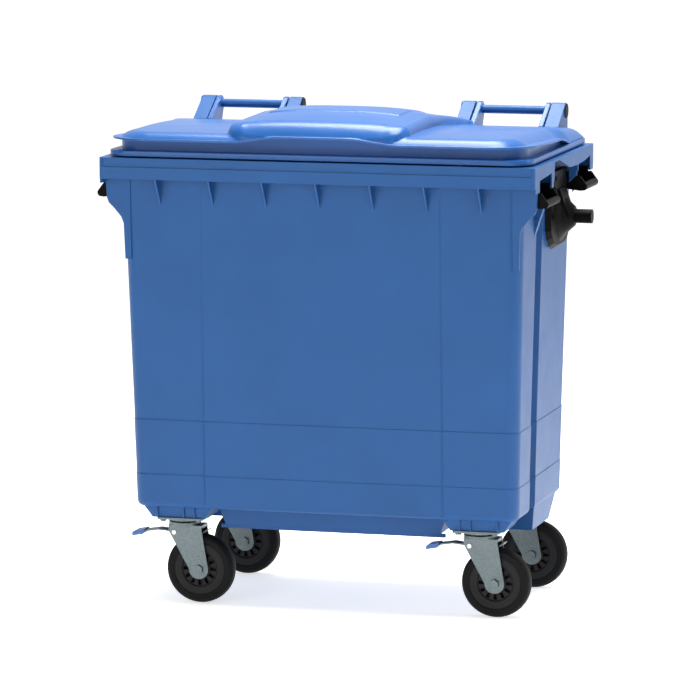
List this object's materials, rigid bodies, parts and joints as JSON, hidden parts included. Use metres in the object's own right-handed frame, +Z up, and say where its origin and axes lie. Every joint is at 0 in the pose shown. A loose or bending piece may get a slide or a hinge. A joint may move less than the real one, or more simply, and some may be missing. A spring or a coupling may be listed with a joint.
{
  "type": "four-wheeled waste container",
  "caption": "Wheeled waste container with a flat hinged lid, lifting trunnions, grip handles, push bars and swivel castors, some with foot brakes.",
  "frame": {"origin": "on the ground under the middle of the rim, which is the middle of the bounding box's base", "axes": "+X to the container's right, seen from the front; -Y to the front; +Z up"},
  "size_m": [1.376, 0.792, 1.419],
  "materials": {
    "blue_body": "satin moulded polyethylene",
    "blue_lid": "semi-gloss moulded polyethylene",
    "black_plastic": "fine texture",
    "zinc": "zinc plated",
    "black_steel": "black passivated",
    "tyre_black": "matt",
    "hub_grey": "matt",
    "pedal_blue": "satin",
    "seal_rubber": "matt",
    "bearing_steel": "polished",
    "bush_nylon": "natural nylon"
  },
  "bodies": {
    "body": {"tub": "blue_body", "trunnion_right": "black_plastic", "trunnion_left": "black_plastic", "trunnion_screws": "black_steel", "hinge_bar_right": "blue_body", "hinge_bar_left": "blue_body", "hinge_caps": "black_plastic", "castor_plate_bolts": "zinc", "castor_plate_nuts": "zinc", "side_handle_front_right": "black_plastic", "side_handle_front_left": "black_plastic", "side_handle_rear_right": "black_plastic", "side_handle_rear_left": "black_plastic", "castor_front_left_plate": "zinc", "castor_front_left_king_pin": "zinc", "castor_front_right_plate": "zinc", "castor_front_right_king_pin": "zinc", "castor_rear_left_plate": "zinc", "castor_rear_left_king_pin": "zinc", "castor_rear_right_plate": "zinc", "castor_rear_right_king_pin": "zinc"},
    "lid": {"lid": "blue_lid"},
    "drain": {"drain_plug": "black_plastic", "drain_seal": "seal_rubber"},
    "pedal_front_left": {"castor_front_left_pedal": "zinc", "castor_front_left_pedal_pad": "pedal_blue", "castor_front_left_brake_shoe": "zinc"},
    "swivel_front_left": {"castor_front_left_balls": "bearing_steel", "castor_front_left_fork": "zinc", "castor_front_left_axle_bolt": "zinc", "castor_front_left_axle_nut": "zinc", "castor_front_left_pedal_pin": "bearing_steel"},
    "wheel_front_left": {"castor_front_left_bush": "bush_nylon", "castor_front_left_hub": "hub_grey", "castor_front_left_tyre": "tyre_black"},
    "pedal_front_right": {"castor_front_right_pedal": "zinc", "castor_front_right_pedal_pad": "pedal_blue", "castor_front_right_brake_shoe": "zinc"},
    "swivel_front_right": {"castor_front_right_balls": "bearing_steel", "castor_front_right_fork": "zinc", "castor_front_right_axle_bolt": "zinc", "castor_front_right_axle_nut": "zinc", "castor_front_right_pedal_pin": "bearing_steel"},
    "wheel_front_right": {"castor_front_right_bush": "bush_nylon", "castor_front_right_hub": "hub_grey", "castor_front_right_tyre": "tyre_black"},
    "swivel_rear_left": {"castor_rear_left_balls": "bearing_steel", "castor_rear_left_fork": "zinc", "castor_rear_left_axle_bolt": "zinc", "castor_rear_left_axle_nut": "zinc"},
    "wheel_rear_left": {"castor_rear_left_bush": "bush_nylon", "castor_rear_left_hub": "hub_grey", "castor_rear_left_tyre": "tyre_black"},
    "swivel_rear_right": {"castor_rear_right_balls": "bearing_steel", "castor_rear_right_fork": "zinc", "castor_rear_right_axle_bolt": "zinc", "castor_rear_right_axle_nut": "zinc"},
    "wheel_rear_right": {"castor_rear_right_bush": "bush_nylon", "castor_rear_right_hub": "hub_grey", "castor_rear_right_tyre": "tyre_black"}
  },
  "joints": [
    {"name": "lid_hinge", "type": "hinge", "parent": "body", "child": "lid", "pos_m": [0, 0.373, 1.383], "axis": [-1, 0, 0], "range_deg": [0, 264]},
    {"name": "drain_turn", "type": "hinge", "parent": "body", "child": "drain", "pos_m": [0, -0.12, 0.22], "axis": [0, 0, 1], "range_deg": [0, 90]},
    {"name": "swivel_front_left", "type": "hinge", "parent": "body", "child": "swivel_front_left", "pos_m": [-0.434, -0.208, 0.225], "axis": [0, 0, 1], "continuous": true},
    {"name": "wheel_front_left", "type": "hinge", "parent": "swivel_front_left", "child": "wheel_front_left", "pos_m": [-0.384, -0.208, 0.1], "axis": [0, 1, 0], "continuous": true},
    {"name": "pedal_front_left", "type": "hinge", "parent": "swivel_front_left", "child": "pedal_front_left", "pos_m": [-0.456, -0.208, 0.205], "axis": [0, -1, 0], "range_deg": [0, 4.5], "stiffness_Nm_per_rad": 40, "springref_deg": -1.15},
    {"name": "swivel_front_right", "type": "hinge", "parent": "body", "child": "swivel_front_right", "pos_m": [0.434, -0.208, 0.225], "axis": [0, 0, 1], "continuous": true},
    {"name": "wheel_front_right", "type": "hinge", "parent": "swivel_front_right", "child": "wheel_front_right", "pos_m": [0.484, -0.208, 0.1], "axis": [0, 1, 0], "continuous": true},
    {"name": "pedal_front_right", "type": "hinge", "parent": "swivel_front_right", "child": "pedal_front_right", "pos_m": [0.412, -0.208, 0.205], "axis": [0, -1, 0], "range_deg": [0, 4.5], "stiffness_Nm_per_rad": 40, "springref_deg": -1.15},
    {"name": "swivel_rear_left", "type": "hinge", "parent": "body", "child": "swivel_rear_left", "pos_m": [-0.434, 0.263, 0.225], "axis": [0, 0, 1], "continuous": true},
    {"name": "wheel_rear_left", "type": "hinge", "parent": "swivel_rear_left", "child": "wheel_rear_left", "pos_m": [-0.384, 0.263, 0.1], "axis": [0, 1, 0], "continuous": true},
    {"name": "swivel_rear_right", "type": "hinge", "parent": "body", "child": "swivel_rear_right", "pos_m": [0.434, 0.263, 0.225], "axis": [0, 0, 1], "continuous": true},
    {"name": "wheel_rear_right", "type": "hinge", "parent": "swivel_rear_right", "child": "wheel_rear_right", "pos_m": [0.484, 0.263, 0.1], "axis": [0, 1, 0], "continuous": true}
  ]
}
